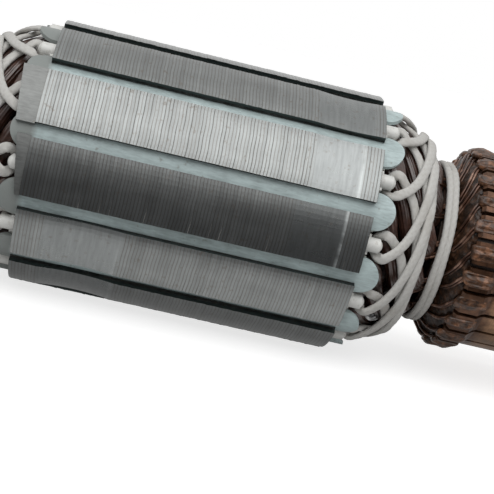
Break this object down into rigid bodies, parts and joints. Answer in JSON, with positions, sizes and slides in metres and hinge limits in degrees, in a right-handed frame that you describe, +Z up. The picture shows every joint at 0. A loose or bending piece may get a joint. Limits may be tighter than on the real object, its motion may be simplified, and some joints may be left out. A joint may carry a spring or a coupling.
{
  "type": "motor armature",
  "caption": "Wound armature of a small universal motor: slotted sheet-steel core on an insulated shaft, laced coil ends and a barred commutator.",
  "frame": {"origin": "middle of the drive-end bearing journal, on the shaft's axis", "axes": "+X along the shaft from the drive end to the commutator, +Z up through the middle of a tooth"},
  "size_m": [0.16, 0.041, 0.041],
  "materials": {
    "ground_steel": "fine ground steel",
    "dark_moulding": "dark moulded insulation tube",
    "core_sheet": "turned edges of thin steel sheets with a light varnish",
    "white_moulding": "white moulded end insulator",
    "slot_paper": "thin slot insulation paper",
    "fibre_sheet": "grey-green vulcanised fibre sheet",
    "wedge_fibre": "pale blue-green fibre strip",
    "phenolic": "dark moulded phenolic resin",
    "lacing_cord": "white flat lacing cord under thin varnish",
    "varnished_wire": "enamelled copper wire under dark brown varnish",
    "copper_bar": "turned copper, browned by varnish"
  },
  "bodies": {
    "root": {"shaft": "ground_steel", "shaft_insulation": "dark_moulding", "lamination_stack": "core_sheet", "drive_end_insulator": "white_moulding", "commutator_end_insulator": "white_moulding", "slot_papers": "slot_paper", "fibre_leaves": "fibre_sheet", "commutator_hub": "phenolic", "commutator_end_lacing": "lacing_cord", "drive_end_lacing": "lacing_cord", "neck_binding": "lacing_cord", "slot_wedge_1": "wedge_fibre", "slot_wedge_2": "wedge_fibre", "slot_wedge_3": "wedge_fibre", "slot_wedge_4": "wedge_fibre", "slot_wedge_5": "wedge_fibre", "slot_wedge_6": "wedge_fibre", "slot_wedge_7": "wedge_fibre", "slot_wedge_8": "wedge_fibre", "slot_wedge_9": "wedge_fibre", "slot_wedge_10": "wedge_fibre", "slot_wedge_11": "wedge_fibre", "slot_wedge_12": "wedge_fibre", "coil_1": "varnished_wire", "coil_2": "varnished_wire", "coil_3": "varnished_wire", "coil_4": "varnished_wire", "coil_5": "varnished_wire", "coil_6": "varnished_wire", "coil_7": "varnished_wire", "coil_8": "varnished_wire", "coil_9": "varnished_wire", "coil_10": "varnished_wire", "coil_11": "varnished_wire", "coil_12": "varnished_wire", "commutator_bar_1": "copper_bar", "commutator_bar_2": "copper_bar", "commutator_bar_3": "copper_bar", "commutator_bar_4": "copper_bar", "commutator_bar_5": "copper_bar", "commutator_bar_6": "copper_bar", "commutator_bar_7": "copper_bar", "commutator_bar_8": "copper_bar", "commutator_bar_9": "copper_bar", "commutator_bar_10": "copper_bar", "commutator_bar_11": "copper_bar", "commutator_bar_12": "copper_bar", "commutator_bar_13": "copper_bar", "commutator_bar_14": "copper_bar", "commutator_bar_15": "copper_bar", "commutator_bar_16": "copper_bar", "commutator_bar_17": "copper_bar", "commutator_bar_18": "copper_bar", "commutator_bar_19": "copper_bar", "commutator_bar_20": "copper_bar", "commutator_bar_21": "copper_bar", "commutator_bar_22": "copper_bar", "commutator_bar_23": "copper_bar", "commutator_bar_24": "copper_bar"}
  },
  "joints": []
}
